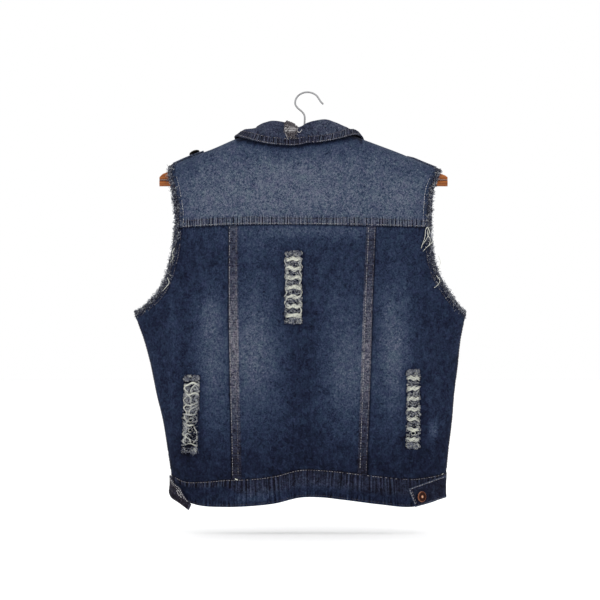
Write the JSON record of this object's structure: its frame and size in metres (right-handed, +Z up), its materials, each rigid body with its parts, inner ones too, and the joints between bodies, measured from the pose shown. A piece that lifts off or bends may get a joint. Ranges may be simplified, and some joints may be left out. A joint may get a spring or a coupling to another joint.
{
  "type": "sleeveless denim vest on a wooden hanger",
  "caption": "Sleeveless denim vest, frayed at the armholes, hanging closed on a wooden hanger with a wire hook; its body, neck and armholes are hollow.",
  "frame": {"origin": "the seat inside the top of the hanger's hook, where a rod or peg carries the weight", "axes": "+Z up along the hanging garment, +X to the wearer's left, +Y out of the back, so the wearer faces -Y"},
  "size_m": [0.5095, 0.0989, 0.6456],
  "materials": {
    "denim": "dark indigo denim, worn",
    "faded_denim": "faded grey-blue denim",
    "fray": "loose raw cotton threads",
    "button": "aged copper colour",
    "wood": "satin lacquer",
    "wire": "bright wire"
  },
  "bodies": {
    "root": {"back_yoke": "faded_denim", "back_centre_panel": "denim", "back_side_left": "denim", "back_side_right": "denim", "front_left": "denim", "front_right": "denim", "placket_right": "denim", "placket_left": "denim", "waistband_back": "denim", "waistband_front_right": "denim", "waistband_front_left": "denim", "waist_tab_right": "denim", "waist_tab_left": "denim", "collar": "faded_denim", "collar_fray": "fray", "ladder_centre": "fray", "ladder_left": "fray", "ladder_right": "fray", "shoulder_tab_left": "denim", "shoulder_tab_right": "denim", "armhole_fray_left": "fray", "armhole_fray_right": "fray", "front_button_1": "button", "front_button_2": "button", "front_button_3": "button", "front_button_4": "button", "front_button_5": "button", "waistband_button": "button", "shoulder_button_left": "button", "shoulder_button_right": "button", "waist_button_right": "button", "hanger_arms": "wood", "hanger_bar": "wood", "hanger_hook": "wire"}
  },
  "joints": []
}
